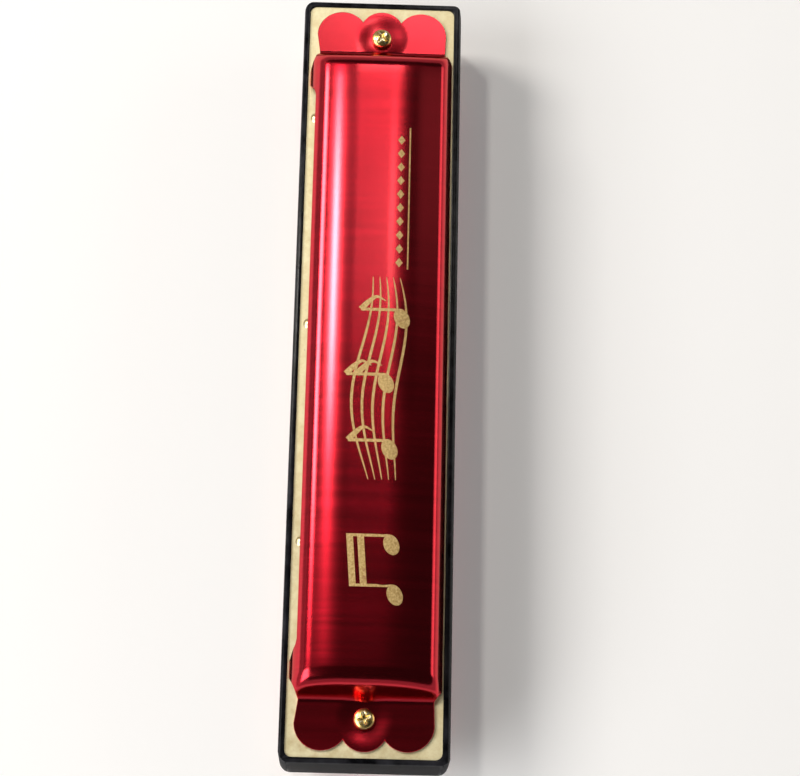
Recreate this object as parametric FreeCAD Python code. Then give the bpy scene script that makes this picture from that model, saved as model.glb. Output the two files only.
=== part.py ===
import FreeCAD, Part
import math
import os

# A sixteen-column, two-row reed harmonica.
# +X runs along the length towards the high notes, -Y is the mouth side, +Z is up.
# The origin is the middle of the bounding box, at the crown of the lower cover.
# All lengths are in millimetres, all angles in degrees.

V = FreeCAD.Vector
ALONG_X = V(1, 0, 0)
ALONG_Y = V(0, 1, 0)
ALONG_Z = V(0, 0, 1)
ORIGIN = V(0, 0, 0)

# Comb: the moulded body that everything is fixed to
comb_length = 130.0
comb_depth = 26.8
comb_thickness = 10.0
comb_corner_radius = 2.0
comb_edge_radius = 0.45
nose_bulge = 0.4
rim_width = 0.93
rim_stand = 0.3
recess_corner_radius = 1.2

# Cells: one air chamber per column in each row, open at the mouth side and to its reed plate
column_count = 16
solid_end = 13.0
cell_wall = 2.2
middle_wall = 1.0
cell_back_setback = 4.4
mouth_lip = 0.5
mouth_corner_radius = 0.35

# Reed plates
plate_thickness = 0.9
plate_clearance = 0.05

# Reeds: a tongue over its slot, held by a riveted pad
reed_width = 1.9
reed_thickness = 0.25
reed_lift = 0.05
reed_root_setback = 5.67
reed_tip_setback = 5.0
reed_step = 0.36
reed_side_clearance = 0.05
reed_tip_clearance = 0.08
reed_root_gap = 0.03
pad_width = 2.6
pad_length = 2.9
pad_thickness = 0.3
rivet_radius = 0.5
rivet_head_radius = 0.85
rivet_head_height = 0.3

# Nails that hold each plate to the comb
nail_radius = 0.5
nail_head_radius = 0.95
nail_head_height = 0.45
nail_depth = 2.9
back_nail_setback = 1.62
back_nail_first_inset = 35.1
back_nail_last_inset = 21.7
back_nail_count = 3
front_nail_setback = 1.9
front_nail_columns = 5

# Covers: pressed sheet, closed at the mouth side, open at the back between two feet
sheet = 0.5
cover_height = 5.8
cover_front_gap = 0.2
cover_back_gap = 0.3
front_wall_height = 4.3
front_wall_lean = 1.2
back_wall_height = 4.4
back_wall_lean = 1.15
crown_front_inset = 10.5
crown_back_inset = 8.5
front_shoulder_radius = 0.9
back_shoulder_radius = 1.8
body_end_inset = 9.8
end_wall_lean = 2.6
end_shoulder_radius = 1.5
corner_cut_length = 1.7
corner_cut_depth = 1.3
foot_length = 6.0
opening_height = 3.5
opening_lean = 2.2
opening_corner_radius = 0.8

# Flange: three round lobes past each end of the cover body
lobe_inset = 6.2
lobe_side_gap = 1.37
lobe_radius = 4.2
middle_lobe_inset = 5.6
middle_lobe_radius = 3.7
neck_setback = 1.6
dish_radius = 3.2
dish_floor_radius = 2.1
dish_depth = 0.25

# Screws: one at each end of each cover
screw_inset = 7.0
screw_radius = 1.0
screw_clearance = 0.15
screw_head_radius = 1.65
screw_head_height = 1.25
screw_head_round = 0.6
screw_grip = 3.1
cross_length = 2.2
cross_width = 0.6
cross_depth = 0.75
cross_taper = 0.35

# A margin for tools that must pass right through what they cut
past = 1.0

# Worked out from the sizes above
half_length = comb_length / 2
back_face = comb_depth / 2
nose_face = -comb_depth / 2
front_face = nose_face + nose_bulge
recess_front = front_face + rim_width
recess_back = back_face - rim_width
recess_end = half_length - rim_width
recess_depth = rim_stand + plate_thickness
core_top = comb_thickness / 2 - recess_depth
plate_top = core_top + plate_thickness
middle_height = plate_top + cover_height
plate_middle = (recess_front + recess_back) / 2
column_pitch = (comb_length - 2 * solid_end) / column_count
cell_width = column_pitch - cell_wall
cell_back = recess_back - cell_back_setback
longest_reed = recess_back - recess_front - reed_root_setback - reed_tip_setback
slot_half_width = reed_width / 2 + reed_side_clearance
screw_x = half_length - screw_inset
screw_seat = plate_top + sheet - dish_depth
cover_front = recess_front + cover_front_gap
cover_back = recess_back - cover_back_gap
body_end = half_length - body_end_inset
lobe_offset = (recess_back - recess_front) / 2 - lobe_side_gap - lobe_radius


def column_x(column):
    return (column - (column_count - 1) / 2) * column_pitch


def is_draw(column):
    """Draw reeds sit outside their plate and blow reeds inside it, turn about."""
    return column % 2 == 1


def block(x0, x1, y0, y1, z0, z1):
    return Part.makeBox(x1 - x0, y1 - y0, z1 - z0, V(x0, y0, z0))


def edges_along(shape, direction):
    """The straight edges of a prism that run along its own direction."""
    found = []
    for edge in shape.Edges:
        if isinstance(edge.Curve, Part.Line):
            run = edge.Vertexes[1].Point.sub(edge.Vertexes[0].Point)
            if run.cross(direction).Length < 1e-6:
                found.append(edge)
    return found


def rounded_block(x0, x1, y0, y1, z0, z1, radius, direction):
    solid = block(x0, x1, y0, y1, z0, z1)
    return solid.makeFillet(radius, edges_along(solid, direction))


def polygon_wire(points):
    return Part.makePolygon(points + [points[0]])


def prism(wire, travel):
    return Part.Face(wire).extrude(travel)


def cylinder(radius, x, y, z0, z1):
    return Part.makeCylinder(radius, z1 - z0, V(x, y, z0))


def cut_all(shape, tools):
    return shape.cut(Part.makeCompound(tools))


def one_solid(shape):
    """Joins the pieces of one part and merges the faces that the joins split."""
    return shape.removeSplitter().Solids[0]


def lower_half(shape):
    """The same piece for the underside, seen in the comb's middle plane."""
    return shape.mirror(ORIGIN, ALONG_Z)


def comb_section():
    """Depthwise outline: a flat back and a mouth side that bulges into a shallow nose."""
    half = comb_thickness / 2
    back_low = V(-half_length, back_face, -half)
    back_high = V(-half_length, back_face, half)
    front_high = V(-half_length, front_face, half)
    front_low = V(-half_length, front_face, -half)
    nose = Part.Arc(front_high, V(-half_length, nose_face, 0), front_low).toShape()
    sides = [
        Part.makeLine(back_low, back_high),
        Part.makeLine(back_high, front_high),
        nose,
        Part.makeLine(front_low, back_low),
    ]
    return Part.Wire(sides)


def comb_blank():
    half = comb_thickness / 2
    along = prism(comb_section(), V(comb_length, 0, 0))
    along = along.makeFillet(comb_edge_radius, edges_along(along, ALONG_X))
    plan = rounded_block(
        -half_length, half_length, nose_face, back_face, -half, half, comb_corner_radius, ALONG_Z
    )
    ends = rounded_block(
        -half_length, half_length, nose_face, back_face, -half, half, comb_edge_radius, ALONG_Y
    )
    return along.common(plan).common(ends)


def plate_pocket():
    return rounded_block(
        -recess_end,
        recess_end,
        recess_front,
        recess_back,
        core_top,
        comb_thickness / 2 + past,
        recess_corner_radius,
        ALONG_Z,
    )


def cell(x):
    """One chamber of the upper row with its mouth hole."""
    left = x - cell_width / 2
    right = x + cell_width / 2
    chamber = block(left, right, recess_front, cell_back, middle_wall / 2, core_top + past)
    mouth = rounded_block(
        left,
        right,
        nose_face - past,
        recess_front + past,
        middle_wall / 2,
        core_top - mouth_lip,
        mouth_corner_radius,
        ALONG_Y,
    )
    return [chamber, mouth]


def back_nail_places():
    first = -half_length + back_nail_first_inset
    last = half_length - back_nail_last_inset
    step = (last - first) / (back_nail_count - 1)
    return [(first + index * step, recess_back - back_nail_setback) for index in range(back_nail_count)]


def front_nail_places():
    """These stand on the walls between cells."""
    y = recess_front + front_nail_setback
    return [(side * front_nail_columns * column_pitch, y) for side in (-1, 0, 1)]


def nail_places():
    return back_nail_places() + front_nail_places()


def make_comb():
    cuts = [plate_pocket()]
    for column in range(column_count):
        cuts.extend(cell(column_x(column)))
    for x in (-screw_x, screw_x):
        cuts.append(cylinder(screw_radius, x, plate_middle, core_top - screw_grip, core_top + past))
    for x, y in nail_places():
        cuts.append(cylinder(nail_radius, x, y, core_top - nail_depth, core_top + past))
    cuts.extend([lower_half(tool) for tool in cuts])
    return one_solid(cut_all(comb_blank(), cuts))


def reed_length(column):
    return longest_reed - reed_step * column


def reed_root(column):
    """Where a tongue leaves its pad, and the way along Y that it points."""
    if is_draw(column):
        return recess_back - reed_root_setback, -1
    return recess_front + reed_root_setback, 1


def span_block(x, half_width, y_from, y_to, z0, z1):
    return block(x - half_width, x + half_width, min(y_from, y_to), max(y_from, y_to), z0, z1)


def reed_slot(column):
    root, way = reed_root(column)
    tip = root + way * (reed_length(column) + reed_tip_clearance)
    return span_block(
        column_x(column), slot_half_width, root, tip, core_top - past, plate_top + past
    )


def rivet_place(column):
    root, way = reed_root(column)
    return column_x(column), root - way * pad_length / 2


def make_plate():
    solid = rounded_block(
        -recess_end + plate_clearance,
        recess_end - plate_clearance,
        recess_front + plate_clearance,
        recess_back - plate_clearance,
        core_top,
        plate_top,
        recess_corner_radius - plate_clearance,
        ALONG_Z,
    )
    low = core_top - past
    high = plate_top + past
    cuts = [reed_slot(column) for column in range(column_count)]
    for column in range(column_count):
        x, y = rivet_place(column)
        cuts.append(cylinder(rivet_radius, x, y, low, high))
    for x, y in nail_places():
        cuts.append(cylinder(nail_radius, x, y, low, high))
    for x in (-screw_x, screw_x):
        cuts.append(cylinder(screw_radius + screw_clearance, x, plate_middle, low, high))
    return one_solid(cut_all(solid, cuts))


def reed_span(column, offset, thickness):
    """Heights of a strip that lies off the face of the plate that carries this reed."""
    if is_draw(column):
        return plate_top + offset, plate_top + offset + thickness
    return core_top - offset - thickness, core_top - offset


def make_tongue(column):
    root, way = reed_root(column)
    z0, z1 = reed_span(column, reed_lift, reed_thickness)
    start = root + way * reed_root_gap
    end = root + way * reed_length(column)
    return span_block(column_x(column), reed_width / 2, start, end, z0, z1)


def make_pad(column):
    root, way = reed_root(column)
    z0, z1 = reed_span(column, 0, pad_thickness)
    pad = span_block(column_x(column), pad_width / 2, root - way * pad_length, root, z0, z1)
    x, y = rivet_place(column)
    return pad.cut(cylinder(rivet_radius, x, y, z0 - past, z1 + past))


def domed_head(radius, height, x, y, z, way):
    """A low round head that stands on the level z and rises along Z in the given way."""
    ball = (radius * radius + height * height) / (2 * height)
    centre = V(x, y, z + way * (height - ball))
    z0 = min(z, z + way * height)
    return Part.makeSphere(ball, centre).common(cylinder(radius, x, y, z0, z0 + height))


def make_rivet(column):
    x, y = rivet_place(column)
    z0, z1 = reed_span(column, 0, pad_thickness)
    shank = cylinder(rivet_radius, x, y, min(z0, core_top), max(z1, plate_top))
    if is_draw(column):
        head = domed_head(rivet_head_radius, rivet_head_height, x, y, z1, 1)
    else:
        head = domed_head(rivet_head_radius, rivet_head_height, x, y, z0, -1)
    return one_solid(shank.fuse(head))


def make_nail(x, y):
    shank = cylinder(nail_radius, x, y, core_top - nail_depth, plate_top)
    head = domed_head(nail_head_radius, nail_head_height, x, y, plate_top, 1)
    return one_solid(shank.fuse(head))


def arc_from_level(top, low):
    """A round stretch that leaves the point top level and comes down to the point low."""
    drop = top.z - low.z
    run = low.y - top.y
    radius = (run * run + drop * drop) / (2 * drop)
    half_turn = math.asin(abs(run) / radius) / 2
    side = math.copysign(radius * math.sin(half_turn), run)
    middle = V(0, top.y + side, top.z - radius * (1 - math.cos(half_turn)))
    return Part.Arc(top, middle, low).toShape()


def cover_section(inset):
    """Depthwise outline of the cover body, run on below the plate so that an inset keeps its floor."""
    below = 2 * sheet
    front_slope = front_wall_lean / front_wall_height
    back_slope = back_wall_lean / back_wall_height
    front_low = V(0, cover_front - front_slope * below, -below)
    front_high = V(0, cover_front + front_wall_lean, front_wall_height)
    crown_front = V(0, cover_front + crown_front_inset, cover_height)
    crown_back = V(0, cover_back - crown_back_inset, cover_height)
    back_high = V(0, cover_back - back_wall_lean, back_wall_height)
    back_low = V(0, cover_back + back_slope * below, -below)
    outline = Part.Wire([
        Part.makeLine(front_low, front_high),
        arc_from_level(crown_front, front_high),
        Part.makeLine(crown_front, crown_back),
        arc_from_level(crown_back, back_high),
        Part.makeLine(back_high, back_low),
        Part.makeLine(back_low, front_low),
    ])
    return outline.makeOffset2D(-inset) if inset else outline


def edges_near(shape, points, direction):
    """The edges along a direction that lie closest to each of the given points."""
    straight = edges_along(shape, direction)
    return [min(straight, key=lambda edge: edge.distToShape(Part.Vertex(point))[0]) for point in points]


def cover_along(inset):
    solid = prism(cover_section(inset), V(2 * half_length, 0, 0))
    solid.translate(V(-half_length, 0, 0))
    front = V(0, cover_front + front_wall_lean, front_wall_height)
    back = V(0, cover_back - back_wall_lean, back_wall_height)
    solid = solid.makeFillet(front_shoulder_radius - inset, edges_near(solid, [front], ALONG_X))
    return solid.makeFillet(back_shoulder_radius - inset, edges_near(solid, [back], ALONG_X))


def cover_ends(inset):
    """Lengthwise outline of the cover body, with leaning ends and round shoulders."""
    below = 2 * sheet
    slope = end_wall_lean / cover_height
    low = body_end + slope * below
    high = body_end - end_wall_lean
    outline = polygon_wire([
        V(-low, nose_face, -below),
        V(-high, nose_face, cover_height),
        V(high, nose_face, cover_height),
        V(low, nose_face, -below),
    ])
    if inset:
        outline = outline.makeOffset2D(-inset)
    solid = prism(outline, V(0, comb_depth, 0))
    tops = [V(-high, 0, cover_height), V(high, 0, cover_height)]
    return solid.makeFillet(end_shoulder_radius - inset, edges_near(solid, tops, ALONG_Y))


def cover_body(inset):
    return cover_along(inset).common(cover_ends(inset))


def cover_trim():
    """Plan of the cover body: a rectangle whose four corners are cut off."""
    long_end = body_end - corner_cut_length
    return prism(
        polygon_wire([
            V(-long_end, cover_front, 0),
            V(long_end, cover_front, 0),
            V(body_end, cover_front + corner_cut_depth, 0),
            V(body_end, cover_back - neck_setback, 0),
            V(long_end - corner_cut_length, cover_back, 0),
            V(-long_end + corner_cut_length, cover_back, 0),
            V(-body_end, cover_back - neck_setback, 0),
            V(-body_end, cover_front + corner_cut_depth, 0),
        ]),
        V(0, 0, cover_height),
    )


def sound_opening():
    """The long gap under the back edge, between the two feet."""
    low = body_end - foot_length
    high = low - opening_lean
    slope = opening_lean / opening_height
    outline = polygon_wire([
        V(-low - slope * past, plate_middle, -past),
        V(low + slope * past, plate_middle, -past),
        V(high, plate_middle, opening_height),
        V(-high, plate_middle, opening_height),
    ])
    solid = prism(outline, V(0, comb_depth, 0))
    tops = [V(-high, 0, opening_height), V(high, 0, opening_height)]
    return solid.makeFillet(opening_corner_radius, edges_near(solid, tops, ALONG_Y))


def flange(side):
    """The scalloped tongue that the screw holds down, on one end of the cover."""
    outer = side * (half_length - lobe_inset)
    inner = side * (body_end - sheet)
    neck_front = cover_front + corner_cut_depth
    neck_back = cover_back - neck_setback
    web = prism(
        polygon_wire([
            V(inner, neck_front, 0),
            V(outer, plate_middle - lobe_offset - lobe_radius, 0),
            V(outer, plate_middle + lobe_offset + lobe_radius, 0),
            V(inner, neck_back, 0),
        ]),
        V(0, 0, sheet),
    )
    lobes = [
        cylinder(lobe_radius, outer, plate_middle - lobe_offset, 0, sheet),
        cylinder(lobe_radius, outer, plate_middle + lobe_offset, 0, sheet),
        cylinder(
            middle_lobe_radius, side * (half_length - middle_lobe_inset), plate_middle, 0, sheet
        ),
    ]
    x = side * screw_x
    dish_low = V(x, plate_middle, sheet - dish_depth)
    dish = Part.makeCone(dish_floor_radius, dish_radius, dish_depth, dish_low)
    hole = cylinder(screw_radius + screw_clearance, x, plate_middle, -past, sheet + past)
    return cut_all(web.fuse(lobes), [dish, hole])


def make_cover():
    outside = cover_body(0)
    shell = outside.cut(cover_body(sheet)).common(cover_trim())
    shell = shell.cut(sound_opening())
    solid = one_solid(shell.fuse([flange(-1), flange(1)]))
    solid.translate(V(0, 0, plate_top))
    return solid


def cross_recess():
    """A tapered cross sunk in the top of a head that ends at z = 0."""
    tools = []
    for length, width in ((cross_length, cross_width), (cross_width, cross_length)):
        top = polygon_wire([
            V(-length / 2, -width / 2, 0),
            V(length / 2, -width / 2, 0),
            V(length / 2, width / 2, 0),
            V(-length / 2, width / 2, 0),
        ])
        shrink = 1 - cross_taper
        floor = top.copy()
        floor.scale(shrink)
        floor.translate(V(0, 0, -cross_depth))
        tools.append(Part.makeLoft([floor, top], True, True))
    return tools[0].fuse(tools[1])


def make_screw(x):
    head_top = screw_seat + screw_head_height
    head = cylinder(screw_head_radius, x, plate_middle, screw_seat, head_top)
    rim = [edge for edge in head.Edges if abs(edge.CenterOfMass.z - head_top) < 1e-6]
    head = head.makeFillet(screw_head_round, rim)
    shank = cylinder(screw_radius, x, plate_middle, core_top - screw_grip, screw_seat)
    cross = cross_recess()
    cross.rotate(ORIGIN, ALONG_Z, 45)
    cross.translate(V(x, plate_middle, head_top))
    return one_solid(head.fuse(shank).cut(cross))


def place(shape):
    """From the comb's middle plane to the origin under the lower cover."""
    placed = shape.copy()
    placed.translate(V(0, 0, middle_height))
    return placed


def group(solids):
    return Part.makeCompound(solids)


def both_rows(name, solid):
    return {
        "upper_" + name: place(solid),
        "lower_" + name: place(lower_half(solid)),
    }


def all_nodes():
    columns = range(column_count)
    screws = [make_screw(x) for x in (-screw_x, screw_x)]
    screws.extend([lower_half(screw) for screw in screws])
    nodes = {"comb": place(make_comb()), "cover_screws": place(group(screws))}
    nodes.update(both_rows("reed_plate", make_plate()))
    nodes.update(both_rows("cover", make_cover()))
    nodes.update(both_rows("plate_nails", group([make_nail(x, y) for x, y in nail_places()])))
    nodes.update(both_rows("reed_pads", group([make_pad(column) for column in columns])))
    nodes.update(both_rows("reed_rivets", group([make_rivet(column) for column in columns])))
    for column in columns:
        nodes.update(both_rows("reed_{:02d}".format(column + 1), make_tongue(column)))
    return nodes


os.makedirs("parts", exist_ok=True)
for node, shape in all_nodes().items():
    shape.exportStep(os.path.join("parts", node + ".step"))
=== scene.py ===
import math

import bmesh
import bpy
import numpy as np
from mathutils import Matrix, Vector
from mathutils.geometry import delaunay_2d_cdt


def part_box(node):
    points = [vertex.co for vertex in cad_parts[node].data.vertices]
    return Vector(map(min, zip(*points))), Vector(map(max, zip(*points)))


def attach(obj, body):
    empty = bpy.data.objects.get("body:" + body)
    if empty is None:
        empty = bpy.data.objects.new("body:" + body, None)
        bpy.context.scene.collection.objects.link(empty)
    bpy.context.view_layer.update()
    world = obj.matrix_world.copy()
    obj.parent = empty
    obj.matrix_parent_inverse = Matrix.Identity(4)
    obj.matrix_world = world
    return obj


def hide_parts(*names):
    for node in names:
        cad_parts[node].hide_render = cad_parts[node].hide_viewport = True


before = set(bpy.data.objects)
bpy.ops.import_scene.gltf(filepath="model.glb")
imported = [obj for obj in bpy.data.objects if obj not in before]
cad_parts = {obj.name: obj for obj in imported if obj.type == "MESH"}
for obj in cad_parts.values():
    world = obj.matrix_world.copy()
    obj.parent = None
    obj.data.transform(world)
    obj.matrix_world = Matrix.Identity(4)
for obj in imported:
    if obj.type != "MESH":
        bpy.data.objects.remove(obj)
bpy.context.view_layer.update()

# Lengths in this script are millimetres until MM turns them into the scene's metres.
MM = 0.001
BODY = "harmonica"

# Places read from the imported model
COVER_LOW, COVER_HIGH = (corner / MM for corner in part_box("upper_cover"))
PLATE_LOW, PLATE_HIGH = (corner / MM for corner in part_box("upper_reed_plate"))
COMB_LOW, COMB_HIGH = (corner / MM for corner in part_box("comb"))
PLATE_TOP = PLATE_HIGH.z
MIDDLE_Y = (PLATE_LOW.y + PLATE_HIGH.y) / 2
MIDDLE_Z = (COMB_LOW.z + COMB_HIGH.z) / 2
HALF_LENGTH = COMB_HIGH.x
COVER_HEIGHT = COVER_HIGH.z - COVER_LOW.z

# Cover: the body's section, its ends and its feet; each wall is given as its rise over its lean
SHEET = 0.5
FRONT = COVER_LOW.y
BACK = COVER_HIGH.y
FRONT_WALL = 4.3 / 1.2
BACK_WALL = 4.4 / 1.15
CROWN_FRONT = FRONT + 10.5
CROWN_BACK = BACK - 8.5
CROWN_FRONT_RADIUS = 29.6
CROWN_BACK_RADIUS = 20.0
BODY_END = HALF_LENGTH - 9.8
END_WALL = COVER_HEIGHT / 2.6
FRONT_SHOULDER = 1.0
BACK_SHOULDER = 2.0
END_SHOULDER = 1.7
END_DIP = 0.3
END_DIP_LENGTH = 6.5
CORNER_CUT = 1.7
CORNER_DEPTH = 1.3
NECK = 1.6
FOOT_LENGTH = 6.0
OPENING_HEIGHT = 3.3
OPENING_LEAN = 2.2
OPENING_CORNER = 0.8
EDGE_ROUND = 0.07

# Flange: three lobes, and a dish round each screw
LOBE_X = HALF_LENGTH - 6.2
LOBE_Y = 6.7
LOBE_RADIUS = 4.2
MIDDLE_LOBE_X = HALF_LENGTH - 5.6
MIDDLE_LOBE_RADIUS = 3.7
FLANGE_START = BODY_END - 1.6
FLANGE_BLEND = 1.4
SCREW_X = HALF_LENGTH - 7.0
DISH_FLOOR = 1.3
DISH_RIM = 4.7
DISH_DEPTH = 0.25
HOLE_RADIUS = 1.15
HOLE_SIDES = 24

# Spacing of the cover's points
OUTLINE_STEP = 0.5
GRID_MARGIN = 0.09
WALL_STEP = 0.12
CROWN_STEP = 0.55
LENGTH_STEP = 0.8
END_STEP = 0.3
FLANGE_STEP = 0.22

# Print on the upper cover; the crown is lowered by the ink's thickness
INK = 0.02
INK_GRID = 0.6
INK_MARGIN = 0.12
STAFF_START = -21.0
STAFF_END = 13.0
STAFF_Y = -0.9
STAFF_GAP = 1.75
STAFF_PINCH = 0.62
STAFF_WAVE = 1.1
STAFF_WAVE_START = 0.1
BEAD_START = 15.6
BEAD_GAP = 2.4
BEAD_Y = -3.5
BEAD_SIZE = (0.8, 0.6)
RULE_START = 14.5
RULE_END = 39.5
RULE_Y = -4.9
RULE_WIDTH = 0.12
# Half length, half width and tilt in degrees of a note's head
QUAVER_HEAD = (1.75, 1.2, 24)
BEAMED_HEAD = (1.7, 1.2, 22)

# Screws
HEAD_RADIUS = 1.65
HEAD_HEIGHT = 1.25
HEAD_ROUND = 0.62
HEAD_CHAMFER = 0.1
SHANK_RADIUS = 1.0
TIP_TAPER = 0.35
SCREW_SEAT = PLATE_TOP + SHEET - DISH_DEPTH
SCREW_TOP = SCREW_SEAT + HEAD_HEIGHT
PLATE_THICKNESS = 0.9
SCREW_GRIP = 3.1
SCREW_TIP = PLATE_TOP - PLATE_THICKNESS - SCREW_GRIP
# Turn of each screw's cross in degrees, by its end (-1 or 1) and its face (1 upper, -1 lower)
CROSS_TURNS = {(-1, 1): 18, (1, 1): 48, (-1, -1): 67, (1, -1): 5}


# ---------------------------------------------------------------- mesh helpers

def placed(name, data):
    """A new object in the scene."""
    thing = bpy.data.objects.new(name, data)
    bpy.context.scene.collection.objects.link(thing)
    return thing


def new_piece(name, vertices, faces, materials):
    """A mesh piece from points in millimetres, riding on the harmonica."""
    mesh = bpy.data.meshes.new(name)
    mesh.from_pydata([tuple(c * MM for c in p) for p in vertices], [], faces)
    mesh.validate()
    piece = placed(name, mesh)
    for material in materials:
        mesh.materials.append(material)
    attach(piece, BODY)
    return piece


def smooth(piece, degrees):
    """Smooth shading, with hard edges where two faces meet at more than an angle."""
    mesh = piece.data
    mesh.polygons.foreach_set("use_smooth", [True] * len(mesh.polygons))
    mesh.set_sharp_from_angle(angle=math.radians(degrees))


def crease(piece, loops):
    """Hard edges round closed rings of vertices."""
    wanted = {frozenset((loop[k - 1], loop[k])) for loop in loops for k in range(len(loop))}
    sharp = piece.data.attributes["sharp_edge"]
    for edge in piece.data.edges:
        if frozenset(edge.vertices) in wanted:
            sharp.data[edge.index].value = True


def soften(piece, width, degrees):
    """A modifier that rounds every edge sharper than an angle."""
    bevel = piece.modifiers.new("soften", "BEVEL")
    bevel.width = width * MM
    bevel.segments = 2
    bevel.limit_method = "ANGLE"
    bevel.angle_limit = math.radians(degrees)


def applied(piece):
    """The mesh that a piece's modifiers give."""
    bpy.context.view_layer.update()
    graph = bpy.context.evaluated_depsgraph_get()
    return bpy.data.meshes.new_from_object(piece.evaluated_get(graph))


def smooth_max(a, b, width):
    """The higher of two heights, blended where they are within a width of each other."""
    h = np.clip(width - np.abs(a - b), 0, None) / width
    return np.maximum(a, b) + h * h * width / 4


def smooth_step(low, high, value):
    """From 0 at the low value to 1 at the high one, level at both ends."""
    t = np.clip((value - low) / (high - low), 0, 1)
    return t * t * (3 - 2 * t)


def arc(cx, cy, radius, start, end, count):
    """Points along a circle from one angle to the other, both in degrees."""
    angles = np.radians(np.linspace(start, end, count))
    return [(cx + radius * math.cos(a), cy + radius * math.sin(a)) for a in angles]


def resample(points, step):
    """The same closed outline with its long straight stretches divided."""
    out = []
    for (ax, ay), (bx, by) in zip(points, points[1:] + points[:1]):
        parts = max(1, math.ceil(math.hypot(bx - ax, by - ay) / step))
        for k in range(parts):
            out.append((ax + (bx - ax) * k / parts, ay + (by - ay) * k / parts))
    return out


def inset(points, distance):
    """A closed anticlockwise outline moved inwards."""
    p = np.array(points)
    before = p - np.roll(p, 1, axis=0)
    after = np.roll(p, -1, axis=0) - p
    before /= np.linalg.norm(before, axis=1)[:, None]
    after /= np.linalg.norm(after, axis=1)[:, None]
    way = before + after
    way /= np.linalg.norm(way, axis=1)[:, None]
    normal = np.stack([-way[:, 1], way[:, 0]], axis=1)
    stretch = np.clip(np.einsum("ij,ij->i", way, after), 0.5, 1)
    return [tuple(q) for q in p + normal * (distance / stretch)[:, None]]


def inside(points, outline, margin):
    """Which points lie within an outline, and which are at least a margin away from it."""
    p = np.array(points)
    a = np.array(outline)
    b = np.roll(a, -1, axis=0)
    odd = np.zeros(len(p), bool)
    near = np.full(len(p), np.inf)
    for (ax, ay), (bx, by) in zip(a, b):
        if ay != by:
            spans = (ay > p[:, 1]) != (by > p[:, 1])
            crosses = p[:, 0] < (bx - ax) * (p[:, 1] - ay) / (by - ay) + ax
            odd ^= spans & crosses
        run = np.array([bx - ax, by - ay])
        t = np.clip(((p - (ax, ay)) @ run) / (run @ run), 0, 1)
        near = np.minimum(near, np.linalg.norm(p - ((ax, ay) + t[:, None] * run), axis=1))
    return odd, near >= margin


def fill(outline, holes, grid, margin):
    """Triangles that cover an outline less its holes, using the grid points inside it."""
    loops = [outline] + holes
    odd, clear = inside(grid, outline, margin)
    keep = odd & clear
    for hole in holes:
        in_hole, away = inside(grid, hole, margin)
        keep &= ~in_hole & away
    points = [Vector(p) for loop in loops for p in loop]
    edges = []
    base = 0
    for loop in loops:
        count = len(loop)
        edges.extend((base + k, base + (k + 1) % count) for k in range(count))
        base += count
    points.extend(Vector(p) for p, k in zip(grid, keep) if k)
    triangles_inside, tolerance = 1, 1e-5
    out = delaunay_2d_cdt(points, edges, [], triangles_inside, tolerance)
    vertices, triangles, origins = out[0], out[2], out[3]
    assert len(vertices) == len(points), "the outline crosses itself"
    order = [o[0] for o in origins]
    flat = [tuple(points[o]) for o in order]
    where = {o: k for k, o in enumerate(order)}
    rings = []
    base = 0
    for loop in loops:
        rings.append([where[base + k] for k in range(len(loop))])
        base += len(loop)
    gaps = [set(ring) for ring in rings[1:]]
    solid = [tuple(t) for t in triangles if not any(gap.issuperset(t) for gap in gaps)]
    return flat, solid, rings


def fill_union(outlines, spacing, margin):
    """Triangles that cover every outline once where they overlap, and the edges round them."""
    whole = np.array([p for outline in outlines for p in outline])
    low, high = whole.min(axis=0), whole.max(axis=0)
    xs, ys = np.arange(low[0], high[0], spacing), np.arange(low[1], high[1], spacing)
    grid = [(x, y) for x in xs for y in ys]
    wanted = np.zeros(len(grid), bool)
    free = np.ones(len(grid), bool)
    points, edges = [], []
    for outline in outlines:
        base, count = len(points), len(outline)
        points.extend(Vector(p) for p in outline)
        edges.extend((base + k, base + (k + 1) % count) for k in range(count))
        within, clear = inside(grid, outline, margin)
        wanted |= within
        free &= clear
    points.extend(Vector(p) for p, k in zip(grid, wanted & free) if k)
    whole_hull, tolerance = 0, 1e-4
    out = delaunay_2d_cdt(points, edges, [], whole_hull, tolerance)
    flat = [tuple(v) for v in out[0]]
    middles = [np.mean([flat[k] for k in t], axis=0) for t in out[2]]
    covered = np.zeros(len(middles), bool)
    for outline in outlines:
        covered |= inside(middles, outline, 0)[0]
    triangles = [tuple(t) for t, k in zip(out[2], covered) if k]
    sides = {(t[k], t[(k + 1) % 3]) for t in triangles for k in range(3)}
    return flat, triangles, [(a, b) for a, b in sorted(sides) if (b, a) not in sides]


# ---------------------------------------------------------------- cover

def crown(y):
    """Height of the body's flat-topped arch, before its walls are cut."""
    front = np.clip(CROWN_FRONT - y, 0, None)
    back = np.clip(y - CROWN_BACK, 0, None)
    drop = CROWN_FRONT_RADIUS - np.sqrt(CROWN_FRONT_RADIUS ** 2 - front ** 2)
    drop += CROWN_BACK_RADIUS - np.sqrt(CROWN_BACK_RADIUS ** 2 - back ** 2)
    return COVER_HEIGHT - INK - drop


def rolled(top, wall, slope, radius):
    """The lower of a top face and a sloping wall, with a rolled corner between them."""
    lean = 1 / math.hypot(1, slope)
    low = np.minimum(top, wall) - 2 * radius
    high = np.minimum(top, wall)
    halvings = 26
    for _ in range(halvings):
        z = (low + high) / 2
        near_top = np.clip(radius - (top - z), 0, None)
        near_wall = np.clip(radius - (wall - z) * lean, 0, None)
        under = np.hypot(near_top, near_wall) < radius
        low, high = np.where(under, z, low), np.where(under, high, z)
    return low


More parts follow.
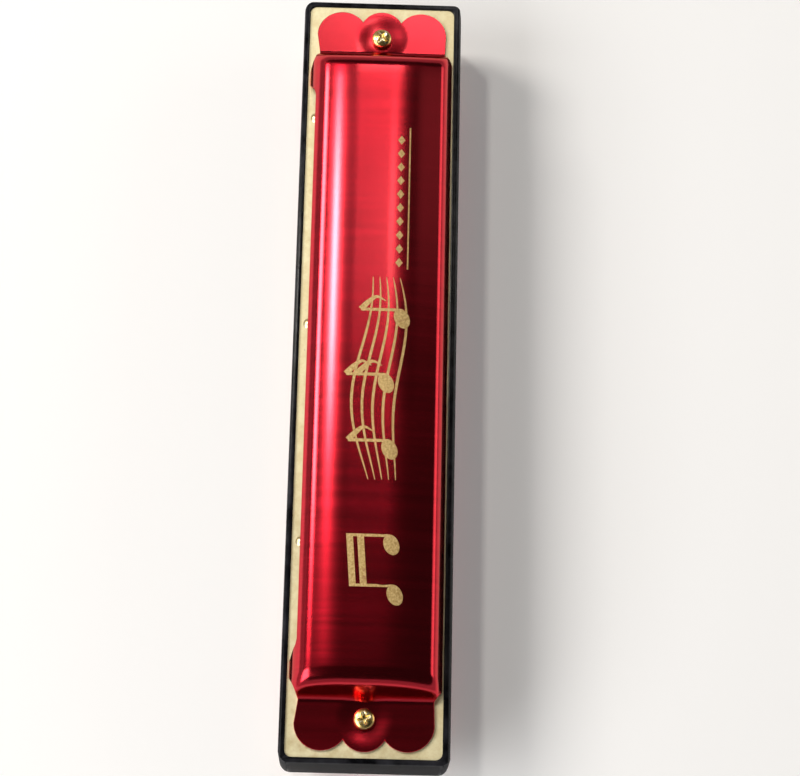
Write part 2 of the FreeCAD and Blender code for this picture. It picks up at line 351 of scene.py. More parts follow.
def cover_top(x, y):
    """Height of the cover's outer face above the plate."""
    front_wall = (y - FRONT) * FRONT_WALL
    back_wall = (BACK - y) * BACK_WALL
    end_wall = (BODY_END - np.abs(x)) * END_WALL
    near_end = np.clip(np.abs(x) - BODY_END + END_DIP_LENGTH, 0, None) / END_DIP_LENGTH
    body = crown(y) - END_DIP * near_end ** 2
    body = rolled(body, front_wall, FRONT_WALL, FRONT_SHOULDER)
    body = rolled(body, back_wall, BACK_WALL, BACK_SHOULDER)
    body = rolled(body, end_wall, END_WALL, END_SHOULDER)
    reach = np.hypot(np.abs(x) - SCREW_X, y - MIDDLE_Y)
    flange = SHEET - DISH_DEPTH * (1 - smooth_step(DISH_FLOOR, DISH_RIM, reach))
    whole = smooth_max(body, flange, FLANGE_BLEND)
    return np.where(np.abs(x) > FLANGE_START, whole, body)


def cover_normals(x, y):
    """Directions square to the cover's outer face."""
    step = 0.01
    dx = (cover_top(x + step, y) - cover_top(x - step, y)) / (2 * step)
    dy = (cover_top(x, y + step) - cover_top(x, y - step)) / (2 * step)
    n = np.stack([-dx, -dy, np.ones_like(dx)], axis=1)
    return n / np.linalg.norm(n, axis=1)[:, None]


def lobe_meeting():
    """Where the middle lobe's circle meets a side lobe's, seen from the middle."""
    dx = LOBE_X - MIDDLE_LOBE_X
    gap = math.hypot(dx, LOBE_Y)
    along = (gap ** 2 + MIDDLE_LOBE_RADIUS ** 2 - LOBE_RADIUS ** 2) / (2 * gap)
    across = math.sqrt(MIDDLE_LOBE_RADIUS ** 2 - along ** 2)
    ux, uy = dx / gap, LOBE_Y / gap
    return MIDDLE_LOBE_X + ux * along + uy * across, uy * along - ux * across


def flange_outline():
    """The +X end's lobes, from its front neck to its back neck."""
    notch_x, notch_y = lobe_meeting()
    side = math.degrees(math.atan2(notch_y - LOBE_Y, notch_x - LOBE_X))
    middle = math.degrees(math.atan2(notch_y, notch_x - MIDDLE_LOBE_X))
    side_points, middle_points = 26, 22
    front = arc(LOBE_X, MIDDLE_Y - LOBE_Y, LOBE_RADIUS, -90, -side, side_points)
    centre = arc(MIDDLE_LOBE_X, MIDDLE_Y, MIDDLE_LOBE_RADIUS, -middle, middle, middle_points)
    back = arc(LOBE_X, MIDDLE_Y + LOBE_Y, LOBE_RADIUS, side, 90, side_points)
    return front + centre[1:-1] + back


def foot_edge():
    """The +X foot's inner edge, from the plate up round the corner to the lip."""
    wall_reach, wall_samples, edge_points = 4, 400, 15
    ys = np.linspace(BACK, BACK - wall_reach, wall_samples)
    tops = cover_top(np.zeros(len(ys)), ys)
    points = []
    for height in np.linspace(0, OPENING_HEIGHT, edge_points):
        turn = max(height - OPENING_HEIGHT + OPENING_CORNER, 0) / OPENING_CORNER
        x = BODY_END - FOOT_LENGTH - OPENING_LEAN * height / OPENING_HEIGHT
        x -= OPENING_CORNER * (1 - math.sqrt(1 - turn * turn))
        points.append((x, float(np.interp(height, tops, ys))))
    return points


def cover_outline():
    """Plan of the whole cover, anticlockwise from the front edge's -X end."""
    long_end = BODY_END - CORNER_CUT
    foot_end = long_end - CORNER_CUT
    right = [(long_end, FRONT), (BODY_END, FRONT + CORNER_DEPTH)]
    right += flange_outline()
    right += [
        (BODY_END, BACK - NECK),
        (foot_end, BACK),
    ]
    right += foot_edge()
    left = [(-x, y) for x, y in reversed(right)]
    return resample(right + left, OUTLINE_STEP)


def cover_grid():
    """Points inside the plan, close together where the sheet turns."""
    front_turn, crown_front, crown_back, back_turn = 2.6, 2.7, 3.0, 2.9
    rows = np.concatenate([
        np.arange(FRONT, FRONT + front_turn, WALL_STEP),
        np.arange(FRONT + crown_front, BACK - crown_back, CROWN_STEP),
        np.arange(BACK - back_turn, BACK, WALL_STEP),
    ])
    end_reach, flange_gap, flange_overlap, flange_end = 6, 1.4, 1.3, 1.5
    columns = np.concatenate([
        np.arange(LENGTH_STEP / 2, BODY_END - end_reach, LENGTH_STEP),
        np.arange(BODY_END - end_reach, FLANGE_START - flange_gap, END_STEP),
    ])
    body = [(s * x, y) for s in (-1, 1) for x in columns for y in rows]
    far = np.arange(FLANGE_START - flange_overlap, HALF_LENGTH - flange_end, FLANGE_STEP)
    across = np.arange(FRONT, BACK, FLANGE_STEP)
    return body + [(s * x, y) for s in (-1, 1) for x in far for y in across]


def cover_layers(flat, edge_flat):
    """Points of the outer face, the rim's two rows and the inner face, above the plate."""
    p = np.array(flat)
    top = np.column_stack([p, cover_top(p[:, 0], p[:, 1])])
    normal = cover_normals(p[:, 0], p[:, 1])
    under = top - normal * SHEET
    under[:, 2] = np.maximum(under[:, 2], 0)
    e = np.array(edge_flat)
    edge_top = np.column_stack([e, cover_top(e[:, 0], e[:, 1])])
    edge_normal = cover_normals(e[:, 0], e[:, 1])
    upper = edge_top - edge_normal * EDGE_ROUND
    lower = edge_top - edge_normal * (SHEET - EDGE_ROUND)
    upper[:, 2] = np.maximum(upper[:, 2], 0)
    lower[:, 2] = np.maximum(lower[:, 2], 0)
    return top, upper, lower, under


def cover_faces(triangles, rings, count, rim):
    """Faces over all four layers, and each one's material: 0 the finish, 1 the cut edge."""
    inner = count + 2 * rim
    faces = list(triangles)
    faces += [tuple(inner + k for k in reversed(t)) for t in triangles]
    slots = [0] * len(faces)
    base = 0
    for ring in rings:
        size = len(ring)
        for k in range(size):
            m = (k + 1) % size
            a, b = ring[k], ring[m]
            c, d = count + base + k, count + base + m
            e, f = c + rim, d + rim
            g, h = inner + a, inner + b
            faces += [(b, a, c, d), (d, c, e, f), (f, e, g, h)]
            slots += [0, 1, 0]
        base += size
    return faces, slots


def make_cover(name, node, way, materials):
    """way is 1 for the upper cover and -1 for the lower, which is the same pressing."""
    hole_end = 360 - 360 / HOLE_SIDES
    holes = [arc(s * SCREW_X, MIDDLE_Y, HOLE_RADIUS, 0, hole_end, HOLE_SIDES) for s in (-1, 1)]
    loops = [cover_outline()] + [list(reversed(hole)) for hole in holes]
    moved = [inset(loop, EDGE_ROUND) for loop in loops]
    flat, triangles, rings = fill(moved[0], moved[1:], cover_grid(), GRID_MARGIN)
    edge_flat = [p for loop in loops for p in loop]
    count, rim = len(flat), len(edge_flat)
    faces, slots = cover_faces(triangles, rings, count, rim)
    points = np.concatenate(cover_layers(flat, edge_flat))
    points[:, 2] = MIDDLE_Z + way * (points[:, 2] + PLATE_TOP - MIDDLE_Z)
    if way < 0:
        faces = [tuple(reversed(f)) for f in faces]
    piece = new_piece(name, points, faces, materials)
    piece.data.polygons.foreach_set("material_index", slots)
    add_cover_uv(piece, way)
    smooth(piece, 38)
    crease(piece, rings)
    shade_from_section(piece, flat, len(triangles), count + 2 * rim, way)
    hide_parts(node)


def shade_from_section(piece, flat, triangle_count, inner_start, way):
    """Shades the outer and inner faces by the section itself, whatever way the triangles run."""
    mesh = piece.data
    p = np.array(flat)
    exact = cover_normals(p[:, 0], p[:, 1]) * (1, 1, way)
    corners = np.empty(len(mesh.loops), int)
    mesh.loops.foreach_get("vertex_index", corners)
    # The outer triangles come first and then the inner ones, three corners each
    outer = slice(0, 3 * triangle_count)
    inner = slice(3 * triangle_count, 6 * triangle_count)
    normals = np.zeros((len(corners), 3))
    normals[outer] = exact[corners[outer]]
    normals[inner] = -exact[corners[inner] - inner_start]
    mesh.normals_split_custom_set(normals.tolist())


def add_cover_uv(piece, way):
    """U runs along the length, so that the brushed sheen has a direction to follow."""
    unit = 100
    layer = piece.data.uv_layers.new(name="brush")
    for loop in piece.data.loops:
        x, y, z = piece.data.vertices[loop.vertex_index].co / MM
        layer.data[loop.index].uv = (x / unit, (y + way * z) / unit)


# ---------------------------------------------------------------- print on the upper cover

def stroke(points, widths):
    """Outline of a brush stroke along a line, with a half-width at each point."""
    p = np.array(points, float)
    way = np.gradient(p, axis=0)
    way /= np.linalg.norm(way, axis=1)[:, None]
    side = np.stack([-way[:, 1], way[:, 0]], axis=1) * np.array(widths)[:, None]
    return [tuple(q) for q in np.concatenate([p - side, (p + side)[::-1]])]


def curve(control, count):
    """A smooth line through given points (Catmull-Rom)."""
    c = [np.array(p, float) for p in control]
    c = [2 * c[0] - c[1]] + c + [2 * c[-1] - c[-2]]
    out = []
    spans = len(c) - 3
    for k in range(spans):
        p0, p1, p2, p3 = c[k:k + 4]
        for t in np.linspace(0, 1, count, endpoint=k == spans - 1):
            out.append(0.5 * (
                2 * p1 + (p2 - p0) * t
                + (2 * p0 - 5 * p1 + 4 * p2 - p3) * t * t
                + (3 * p1 - p0 - 3 * p2 + p3) * t ** 3
            ))
    return out


def oval(cx, cy, half_length, half_width, tilt):
    """An ellipse, tilted by an angle in degrees."""
    step_degrees = 15
    angles = np.radians(np.arange(0, 360, step_degrees))
    c, s = math.cos(math.radians(tilt)), math.sin(math.radians(tilt))
    points = []
    for a in angles:
        u, v = half_length * math.cos(a), half_width * math.sin(a)
        points.append((cx + u * c - v * s, cy + u * s + v * c))
    return points


def printed(name, outlines, material):
    """Thin ink on the crown: the outlines are filled and laid on the cover's face."""
    flat, triangles, rim = fill_union(outlines, INK_GRID, INK_MARGIN)
    p = np.array(flat)
    z = cover_top(p[:, 0], p[:, 1]) + PLATE_TOP
    count = len(flat)
    vertices = list(np.column_stack([p, z + INK])) + list(np.column_stack([p, z - INK / 2]))
    faces = triangles + [tuple(count + k for k in reversed(t)) for t in triangles]
    faces += [(b, a, count + a, count + b) for a, b in rim]
    piece = new_piece(name, vertices, faces, [material])
    loose = bmesh.new()
    loose.from_mesh(piece.data)
    bmesh.ops.delete(loose, geom=[v for v in loose.verts if not v.link_faces], context="VERTS")
    loose.to_mesh(piece.data)
    loose.free()
    smooth(piece, 40)


def staff_y(x, line):
    """Place of a staff line: the five run together in one slow wave and close up at the ends."""
    t = (x - STAFF_START) / (STAFF_END - STAFF_START)
    swell = STAFF_PINCH + (1 - STAFF_PINCH) * math.sin(math.pi * t)
    wave = STAFF_WAVE * math.sin(2 * math.pi * (t - STAFF_WAVE_START))
    return STAFF_Y + wave + line * STAFF_GAP * swell


def staff_lines():
    """Five lines that are thickest half way along."""
    thin, swell, swell_power = 0.05, 0.17, 0.6
    count = 60
    outlines = []
    xs = np.linspace(STAFF_START, STAFF_END, count)
    for line in (-2, -1, 0, 1, 2):
        points = [(x, staff_y(x, line)) for x in xs]
        t = np.linspace(0, 1, count)
        widths = thin + swell * np.sin(math.pi * t) ** swell_power
        outlines.append(stroke(points, widths))
    return outlines


def stem(x, ys, half_width):
    """A straight stem across the cover."""
    return stroke([(x, y) for y in ys], [half_width] * len(ys))


def note(x, line, length, flags):
    """A quaver: head, stem and flags, with its head on a staff line or between two."""
    stem_side, stem_lift, stem_width, flag_gap = 1.42, 0.3, 0.24, 1.7
    flag = ((0, 0), (1.3, 1.2), (2.2, 2.5), (1.5, 4.0))
    flag_points = 7
    flag_widths = ([0, 0.4, 1], [0.5, 0.4, 0.06])
    y = staff_y(x, line)
    foot_x = x + stem_side
    tip = y + length
    stem_ys = (y + stem_lift, y + length / 2, tip)
    parts = [oval(x, y, *QUAVER_HEAD), stem(foot_x, stem_ys, stem_width)]
    for k in range(flags):
        root = tip - flag_gap * k
        points = curve([(foot_x + dx, root - dy) for dx, dy in flag], flag_points)
        widths = np.interp(np.linspace(0, 1, len(points)), *flag_widths)
        parts.append(stroke(points, widths))
    return parts


def beamed_pair(x, y, spread, height):
    """Two heads whose stems share two slanting beams."""
    stem_side, stem_lift, stem_width, second_rise = 1.45, 0.3, 0.22, 0.7
    beam_gap, beam_low, beam_high = 1.7, 0.95, 0.1
    parts = []
    tops = []
    for k, rise in ((0, 0.0), (1, second_rise)):
        cx = x + k * spread
        cy = y + rise
        foot_x = cx + stem_side
        top = cy + height
        stem_ys = (cy + stem_lift, cy + height / 2, top)
        parts += [oval(cx, cy, *BEAMED_HEAD), stem(foot_x, stem_ys, stem_width)]
        tops.append((foot_x, top))
    (ax, ay), (bx, by) = tops
    for drop in (0.0, beam_gap):
        parts.append([
            (ax - stem_width, ay - drop - beam_low),
            (bx + stem_width, by - drop - beam_low),
            (bx + stem_width, by - drop + beam_high),
            (ax - stem_width, ay - drop + beam_high),
        ])
    return parts


def lozenge(x, y, half_length, half_width):
    """A four-cornered bead."""
    return [(x - half_length, y), (x, y - half_width), (x + half_length, y), (x, y + half_width)]


def print_cover(ink):
    """The three ornaments: a staff with quavers, a beamed pair, and beads beside a rule."""
    notes = note(-16.0, -1.5, 6.6, 1) + note(-5.0, -1, 6.4, 2) + note(6.0, -1.5, 6.6, 1)
    printed("staff_print", staff_lines() + notes, ink)
    printed("beamed_print", beamed_pair(-39.5, -4.0, 8.0, 7.0), ink)
    bead_xs = np.arange(BEAD_START, RULE_END, BEAD_GAP)
    beads = [lozenge(x, BEAD_Y, *BEAD_SIZE) for x in bead_xs]
    rule_points = [(x, RULE_Y) for x in np.linspace(RULE_START, RULE_END, 24)]
    rule = stroke(rule_points, [RULE_WIDTH] * len(rule_points))
    printed("bead_print", beads + [rule], ink)


# ---------------------------------------------------------------- screws

def screw_profile():
    """Half outline of the screw from the top of its head to its tip, as radius and height."""
    round_steps, step_degrees = 8, 10.5
    side_top, side_foot, tip_length = 0.68, 0.12, 0.4
    rows = [(0.0, SCREW_TOP)]
    for k in range(1, round_steps + 1):
        a = math.radians(k * step_degrees)
        rows.append((HEAD_RADIUS * math.sin(a), SCREW_TOP - HEAD_ROUND * (1 - math.cos(a))))
    rows += [
        (HEAD_RADIUS, SCREW_TOP - side_top),
        (HEAD_RADIUS, SCREW_SEAT + side_foot),
        (HEAD_RADIUS - HEAD_CHAMFER, SCREW_SEAT),
        (SHANK_RADIUS, SCREW_SEAT),
        (SHANK_RADIUS, SCREW_TIP + tip_length),
        (SHANK_RADIUS - TIP_TAPER, SCREW_TIP),
        (0.0, SCREW_TIP),
    ]
    return rows


def lathe(rows, x, y, count):
    """A turned shape: each row is a radius and a height, and a radius of 0 closes it."""
    vertices, faces = [], []
    rings = []
    for radius, z in rows:
        if radius == 0:
            rings.append([len(vertices)])
            vertices.append((x, y, z))
            continue
        rings.append(list(range(len(vertices), len(vertices) + count)))
        for k in range(count):
            a = 2 * math.pi * k / count
            vertices.append((x + radius * math.cos(a), y + radius * math.sin(a), z))
    for upper, lower in zip(rings, rings[1:]):
        for k in range(count):
            m = (k + 1) % count
            a, b = upper[k % len(upper)], lower[k % len(lower)]
            c, d = lower[m % len(lower)], upper[m % len(upper)]
            face = tuple(dict.fromkeys((a, b, c, d)))
            if len(face) > 2:
                faces.append(face)
    return vertices, faces


def cross_cutter(x, y, z, turn):
    """A tapered four-winged driver tip, point down."""
    reach, wing, web = 1.2, 0.25, 0.33
    above, depth, shrink = 0.6, 0.85, 0.42
    points = []
    for quarter in range(4):
        a = math.radians(turn + 90 * quarter)
        for along, across in ((reach, -wing), (reach, wing), (web, web)):
            points.append((
                x + along * math.cos(a) - across * math.sin(a),
                y + along * math.sin(a) + across * math.cos(a),
            ))
    top = [(px, py, z + above) for px, py in points]
    mid = [(px, py, z) for px, py in points]
    floor = [(x + (px - x) * shrink, y + (py - y) * shrink, z - depth) for px, py in points]
    count = len(points)
    faces = [tuple(range(count)), tuple(reversed(range(2 * count, 3 * count)))]
    for layer in (0, 1):
        for k in range(count):
            m = (k + 1) % count
            a, b = layer * count, (layer + 1) * count
            faces.append((a + m, a + k, b + k, b + m))
    return top + mid + floor, faces


def make_screws(material):
    """Four screws: two in the upper cover and their mirror images below."""
    sides = 48
    meshes = []
    for (end, way), turn in CROSS_TURNS.items():
        x = end * SCREW_X
        vertices, faces = lathe(screw_profile(), x, MIDDLE_Y, sides)
        head = new_piece("screw_blank", vertices, faces, [material])
        vertices, faces = cross_cutter(x, MIDDLE_Y, SCREW_TOP, turn)
        cutter = new_piece("cutter", vertices, faces, [material])
        cut = head.modifiers.new("cross", "BOOLEAN")
        cut.operation = "DIFFERENCE"
        cut.solver = "EXACT"
        cut.object = cutter
        soften(head, 0.05, 40)
        mesh = applied(head)
        if way < 0:
            flip = Matrix.Translation((0, 0, 2 * MIDDLE_Z * MM)) @ Matrix.Diagonal((1, 1, -1, 1))
            mesh.transform(flip)
            mesh.flip_normals()
        meshes.append(mesh)
        bpy.data.objects.remove(cutter)
        bpy.data.objects.remove(head)
    screws = join_meshes("cross_head_screws", meshes, [material])
    smooth(screws, 35)
    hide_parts("cover_screws")


def join_meshes(name, meshes, materials):
    """One piece, riding on the harmonica, that takes the place of several meshes."""
    whole = bmesh.new()
    for mesh in meshes:
        whole.from_mesh(mesh)
        bpy.data.meshes.remove(mesh)
    joined = bpy.data.meshes.new(name)
    whole.to_mesh(joined)
    whole.free()
    joined.materials.clear()
    for material in materials:
        joined.materials.append(material)
    piece = placed(name, joined)
    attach(piece, BODY)
    return piece


# ---------------------------------------------------------------- comb

def make_comb(material):
    """The comb's CAD shape with every moulded edge softened."""
    same_place = 1e-7
    flat = math.radians(0.5)
    shape = bmesh.new()
    shape.from_mesh(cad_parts["comb"].data)
    bmesh.ops.remove_doubles(shape, verts=shape.verts, dist=same_place)
    bmesh.ops.dissolve_limit(shape, angle_limit=flat, verts=shape.verts, edges=shape.edges)
    mesh = bpy.data.meshes.new("comb_moulding")
    shape.to_mesh(mesh)
    shape.free()
    piece = placed("comb_moulding", mesh)
    soften(piece, 0.13, 50)
    softened = applied(piece)
    piece.modifiers.clear()
    piece.data = softened
    piece.data.materials.clear()
    piece.data.materials.append(material)
    smooth(piece, 35)
    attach(piece, BODY)
    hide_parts("comb")


# ---------------------------------------------------------------- materials

class Shader:
    """A principled material and the few node links that every finish here uses."""

    def __init__(self, name, **sockets):
        self.material = bpy.data.materials.new(name)
        self.material.use_nodes = True
        self.nodes = self.material.node_tree.nodes
        self.links = self.material.node_tree.links
        self.bsdf = self.nodes["Principled BSDF"]
        for socket, value in sockets.items():
            self.bsdf.inputs[socket.replace("_", " ")].default_value = value
        self.place = self.nodes.new("ShaderNodeTexCoord").outputs["Object"]

    def add(self, kind, **inputs):
        node = self.nodes.new(kind)
        for socket, value in inputs.items():
            self.feed(value, node.inputs[socket.replace("_", " ")])
        return node

    def feed(self, value, socket):
        if isinstance(value, bpy.types.NodeSocket):
            self.links.new(value, socket)
        else:
            socket.default_value = value

    def noise(self, scale, stretch=(1, 1, 1), detail=3.0, rough=0.55):
        """Noise whose scale counts features per metre; stretch runs it out along an axis."""
        mapping = self.add("ShaderNodeMapping", Vector=self.place)
        mapping.inputs["Scale"].default_value = stretch
        node = self.add("ShaderNodeTexNoise", Vector=mapping.outputs[0], Scale=scale)
        node.inputs["Detail"].default_value = detail
        node.inputs["Roughness"].default_value = rough
        return node.outputs["Fac"]

    def ramp(self, value, low, high, start=0.0, end=1.0):
        node = self.add("ShaderNodeMapRange", Value=value)
        node.inputs["From Min"].default_value = low
        node.inputs["From Max"].default_value = high
        node.inputs["To Min"].default_value = start
        node.inputs["To Max"].default_value = end
        return node.outputs[0]

    def math(self, operation, a, b):
        node = self.nodes.new("ShaderNodeMath")
        node.operation = operation
        self.feed(a, node.inputs[0])
        self.feed(b, node.inputs[1])
        return node.outputs[0]

    def mix(self, amount, a, b):
        node = self.nodes.new("ShaderNodeMix")
        node.data_type = "RGBA"
        self.feed(amount, node.inputs["Factor"])
        self.feed(a, node.inputs["A"])
        self.feed(b, node.inputs["B"])
        return node.outputs["Result"]

    def bump(self, height, depth, strength, below=None):
        node = self.add("ShaderNodeBump", Height=height, Distance=depth * MM, Strength=strength)
        if below is not None:
            self.feed(below, node.inputs["Normal"])
        return node.outputs[0]

    def edge_wear_and_hollow_shade(self, low, high):
        """Rises from 0 to 1 along outside edges, or into hollows when low is above high, where it
        paints shade.
        """
        return self.ramp(self.nodes.new("ShaderNodeNewGeometry").outputs["Pointiness"], low, high)

    def facing_up(self, low, high):
        """Rises from 0 on upright walls to 1 on faces that look up or down."""
        split = self.add("ShaderNodeSeparateXYZ", Vector=self.place.node.outputs["Normal"])
        return self.ramp(self.math("ABSOLUTE", split.outputs["Z"], 0.0), low, high)

    def finish(self, colour=None, roughness=None, normal=None):
        for socket, value in (("Base Color", colour), ("Roughness", roughness), ("Normal", normal)):
            if value is not None:
                self.feed(value, self.bsdf.inputs[socket])
        return self.material


def red_anodised():
    s = Shader(
        "red_anodised_sheet", Metallic=1.0, Anisotropic=0.25, Coat_Weight=0.6, Coat_Roughness=0.16,
        Coat_IOR=1.5, Specular_Tint=(1.0, 0.36, 0.34, 1),
    )
    tangent = s.nodes.new("ShaderNodeTangent")
    tangent.direction_type = "UV_MAP"
    tangent.uv_map = "brush"
    s.links.new(tangent.outputs[0], s.bsdf.inputs["Tangent"])
    fine = s.noise(1.0, (5200, 130, 130), 2.0, 0.6)
    broad = s.noise(1.0, (900, 30, 30), 3.0, 0.55)
    cloud = s.noise(60, (1, 1, 1), 3.0, 0.5)
    colour = s.mix(s.ramp(broad, 0.3, 0.7), (0.52, 0.004, 0.017, 1), (0.62, 0.006, 0.024, 1))
    colour = s.mix(s.ramp(fine, 0.45, 0.75, 0.0, 0.3), colour, (0.74, 0.018, 0.045, 1))
    rough = s.math("ADD", s.ramp(broad, 0.3, 0.7, 0.18, 0.21), s.ramp(cloud, 0.3, 0.7, -0.01, 0.02))
    wave = s.bump(s.noise(30, (0.5, 1, 1), 1.0, 0.4), 0.04, 0.3)
    grain = s.bump(broad, 0.002, 0.35, wave)
    normal = s.bump(fine, 0.0016, 0.45, grain)
    return s.finish(colour, rough, normal)


def cut_edge():
    s = Shader("sheared_aluminium_edge", Metallic=1.0)
    streak = s.noise(1.0, (2600, 2600, 300), 3.0, 0.6)
    colour = s.mix(s.ramp(streak, 0.35, 0.7), (0.42, 0.16, 0.17, 1), (0.78, 0.66, 0.64, 1))
    return s.finish(colour, s.ramp(streak, 0.3, 0.7, 0.28, 0.5), s.bump(streak, 0.01, 0.5))


def black_moulding():
    s = Shader("black_moulding", IOR=1.22)
    cloud = s.noise(240, (1, 1, 1), 4.0, 0.6)
    scuff = s.noise(1.0, (900, 2600, 2600), 4.0, 0.65)
    worn = s.math("MULTIPLY", s.edge_wear_and_hollow_shade(0.51, 0.56), s.ramp(cloud, 0.4, 0.7))
    deep, shallow = (0.0028, 0.0028, 0.0036, 1), (0.0042, 0.0042, 0.0055, 1)
    colour = s.mix(s.ramp(cloud, 0.3, 0.7), deep, shallow)
    colour = s.mix(worn, colour, (0.03, 0.03, 0.036, 1))
    polish = s.facing_up(0.1, 0.5)
    satin = s.ramp(polish, 0.0, 1.0, 0.66, 0.17)
    rough = s.math("ADD", satin, s.ramp(scuff, 0.6, 0.75, 0.0, 0.12))
    peel = s.bump(s.noise(650, (1, 1, 1), 2.0, 0.5), 0.01, 0.3)
    return s.finish(colour, rough, s.bump(scuff, 0.003, 0.3, peel))


def plate_metal():
    s = Shader("pale_brass_sheet", Metallic=0.5)
    mottle = s.noise(620, (1, 1, 1), 5.0, 0.7)
    cloud = s.noise(70, (1, 1.6, 1), 3.0, 0.55)
    grain = s.noise(1.0, (420, 5200, 1200), 3.0, 0.6)
    colour = s.mix(s.ramp(mottle, 0.36, 0.62), (0.84, 0.71, 0.40, 1), (0.99, 0.91, 0.60, 1))
    colour = s.mix(s.ramp(cloud, 0.35, 0.7, 0.0, 0.45), colour, (0.95, 0.83, 0.50, 1))
    spots = s.ramp(s.noise(1700, (1, 1, 1), 2.0, 0.5), 0.70, 0.78, 0.0, 0.5)
    colour = s.mix(spots, colour, (0.36, 0.26, 0.12, 1))
    cloudy = s.ramp(cloud, 0.3, 0.7, -0.04, 0.06)
    rough = s.math("ADD", s.ramp(mottle, 0.3, 0.7, 0.34, 0.46), cloudy)
    return s.finish(colour, rough, s.bump(grain, 0.004, 0.4, s.bump(mottle, 0.006, 0.3)))


def reed_metal():
    s = Shader("milled_reed_brass", Metallic=1.0)
    milled = s.noise(1.0, (7000, 240, 600), 3.0, 0.6)
    heat = s.noise(160, (1, 1, 1), 2.0, 0.5)
    colour = s.mix(s.ramp(milled, 0.3, 0.7), (0.66, 0.43, 0.16, 1), (0.90, 0.67, 0.32, 1))
    colour = s.mix(s.ramp(heat, 0.55, 0.75, 0.0, 0.35), colour, (0.62, 0.33, 0.14, 1))
    return s.finish(colour, s.ramp(milled, 0.3, 0.7, 0.22, 0.40), s.bump(milled, 0.006, 0.5))


def bright_brass(name, light, dark):
    s = Shader(name, Metallic=1.0)
    tarnish = s.noise(900, (1, 1, 1), 4.0, 0.6)
    fine = s.noise(5200, (1, 1, 1), 2.0, 0.5)
    colour = s.mix(s.ramp(tarnish, 0.5, 0.75), light, dark)
    # Painted shade: hollows such as the cross slots are darkened to dark brown.
    colour = s.mix(s.edge_wear_and_hollow_shade(0.485, 0.42), colour, (0.10, 0.06, 0.02, 1))
    colour = s.mix(s.edge_wear_and_hollow_shade(0.52, 0.60), colour, (0.98, 0.90, 0.66, 1))
    rough = s.ramp(tarnish, 0.35, 0.75, 0.22, 0.40)
    return s.finish(colour, rough, s.bump(fine, 0.004, 0.3))


def gold_ink():
    s = Shader("gold_print", Metallic=0.55, Specular_IOR_Level=0.4)
    grain = s.noise(3200, (1, 1, 1), 3.0, 0.6)
    worn = s.noise(420, (1, 1, 1), 5.0, 0.7)
    colour = s.mix(s.ramp(grain, 0.35, 0.68), (0.50, 0.31, 0.10, 1), (0.80, 0.60, 0.28, 1))
    colour = s.mix(s.ramp(worn, 0.60, 0.74, 0.0, 0.75), colour, (0.34, 0.10, 0.05, 1))
    return s.finish(colour, s.ramp(grain, 0.3, 0.7, 0.38, 0.58), s.bump(grain, 0.006, 0.5))


def stage_paint():
    s = Shader("pale_floor", Roughness=0.8, Emission_Color=(1, 1, 1, 1), Emission_Strength=0.14)
    cloud = s.noise(3.0, (1, 1, 1), 2.0, 0.5)
    return s.finish(s.mix(s.ramp(cloud, 0.3, 0.7), (0.87, 0.87, 0.88, 1), (0.90, 0.90, 0.91, 1)))


def dress(node, material):
    """Gives a CAD node that stays its finish."""
    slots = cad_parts[node].data.materials
    slots.clear()
    slots.append(material)


def dress_cad_nodes():
    """The plates, nails, rivets, pads and reeds keep their CAD meshes."""
    nail_metal = bright_brass("bright_nail_brass", (0.88, 0.72, 0.40, 1), (0.52, 0.36, 0.16, 1))
    plate, reed = plate_metal(), reed_metal()
    for row in ("upper", "lower"):
        dress(row + "_reed_plate", plate)
        dress(row + "_plate_nails", nail_metal)
        dress(row + "_reed_rivets", nail_metal)
        dress(row + "_reed_pads", reed)
    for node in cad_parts:
        reed_number = node[-2:]
        if reed_number.isdigit():
            dress(node, reed)


# ---------------------------------------------------------------- stage, light and camera

def make_stage(material):
    """A round pale floor whose edge curves up into a low wall."""
    inner_radius, floor_radius, bend, wall = 0.4, 1.5, 0.5, 0.25
    bend_steps, sides = 12, 96
    rows = [(0.0, 0.0), (inner_radius, 0.0), (floor_radius, 0.0)]
    for k in range(1, bend_steps + 1):
        a = math.radians(90 * k / bend_steps)
        rows.append((floor_radius + bend * math.sin(a), bend * (1 - math.cos(a))))
    rows.append((floor_radius + bend, bend + wall))
    vertices, faces = lathe(rows, 0.0, 0.0, sides)
    mesh = bpy.data.meshes.new("floor")
    mesh.from_pydata(vertices, [], [tuple(reversed(f)) for f in faces])
    floor = placed("floor", mesh)
    mesh.materials.append(material)
    smooth(floor, 60)


def softbox(name, direction, distance, size, brightness, colour):
    """A soft light facing the harmonica, its size given along the length and across it.

    The brightness is how bright it makes a white card that faces it.
    """
    lamp = bpy.data.lights.new(name, "AREA")
    lamp.shape = "RECTANGLE"
    lamp.size, lamp.size_y = size
    lamp.energy = brightness * (math.pi * distance) ** 2
    lamp.color = colour
    light = placed(name, lamp)
    away = Vector(direction).normalized()
    along = (Vector((1, 0, 0)) - away * away.x).normalized()
    pose = Matrix((along, away.cross(along), away)).transposed().to_4x4()
    light.matrix_world = Matrix.Translation(away * distance) @ pose
    light.visible_camera = False


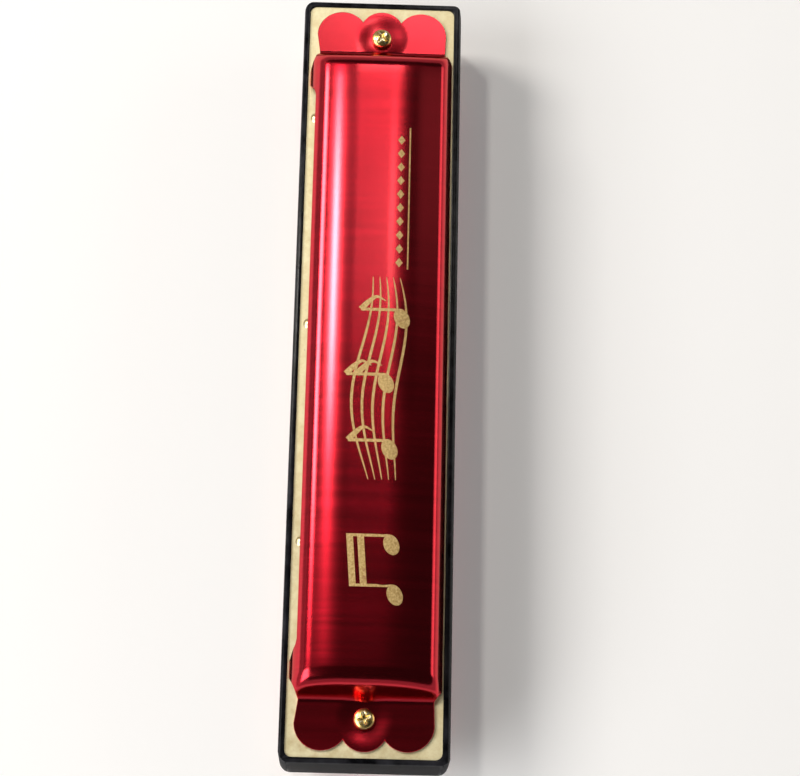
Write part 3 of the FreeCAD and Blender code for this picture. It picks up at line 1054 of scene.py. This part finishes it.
def make_lights():
    white, warm = (1.0, 0.99, 0.97), (1.0, 0.945, 0.86)
    softbox("key", (0.36, 0.31, 0.86), 0.9, (0.13, 0.06), 0.18, warm)
    softbox("window", (0.36, 0.68, 0.64), 0.9, (0.26, 0.26), 0.44, warm)
    softbox("ceiling", (0.42, 0.12, 0.90), 0.9, (0.16, 0.50), 0.015, white)
    softbox("top", (0.385, -0.06, 0.92), 0.9, (0.08, 0.05), 0.012, warm)
    softbox("end", (0.53, -0.05, 0.85), 0.9, (0.05, 0.16), 0.026, warm)
    softbox("side", (0.44, -0.50, 0.73), 0.9, (0.15, 0.40), 0.006, warm)
    softbox("fill", (0.20, -0.88, 0.36), 1.0, (0.7, 0.4), 0.12, warm)
    softbox("back", (-0.40, 0.72, 0.58), 1.0, (0.9, 0.5), 0.75, white)
    world = bpy.data.worlds.new("room")
    world.use_nodes = True
    background = world.node_tree.nodes["Background"]
    background.inputs["Color"].default_value = (0.9, 0.93, 1.0, 1)
    background.inputs["Strength"].default_value = 0.03
    bpy.context.scene.world = world


def make_camera():
    """Above the -X end, looking down the harmonica's length, which stands upright in the view."""
    spot = Vector((-121.1, 1.8, 376.9)) * MM
    target = Vector((-4.0, -4.2, 15.5)) * MM
    roll = math.radians(1.275)
    lens = 105.7
    ahead = (target - spot).normalized()
    right = ahead.cross(Vector((1, 0, 0))).normalized()
    up = right.cross(ahead)
    pose = Matrix((right, up, -ahead)).transposed()
    pose = Matrix.Rotation(roll, 3, -ahead) @ pose
    data = bpy.data.cameras.new("camera")
    data.lens = lens
    data.sensor_width = 36.0
    data.clip_start = 0.01
    camera = placed("camera", data)
    camera.matrix_world = Matrix.Translation(spot) @ pose.to_4x4()
    bpy.context.scene.camera = camera


# ---------------------------------------------------------------- build

def main():
    make_camera()
    make_lights()
    make_stage(stage_paint())
    red, edge = red_anodised(), cut_edge()
    make_cover("red_upper_cover", "upper_cover", 1, [red, edge])
    make_cover("red_lower_cover", "lower_cover", -1, [red, edge])
    make_comb(black_moulding())
    make_screws(bright_brass("yellow_plated_screw", (0.86, 0.62, 0.20, 1), (0.50, 0.32, 0.09, 1)))
    dress_cad_nodes()
    print_cover(gold_ink())


main()
bpy.context.scene.view_settings.view_transform = "Standard"
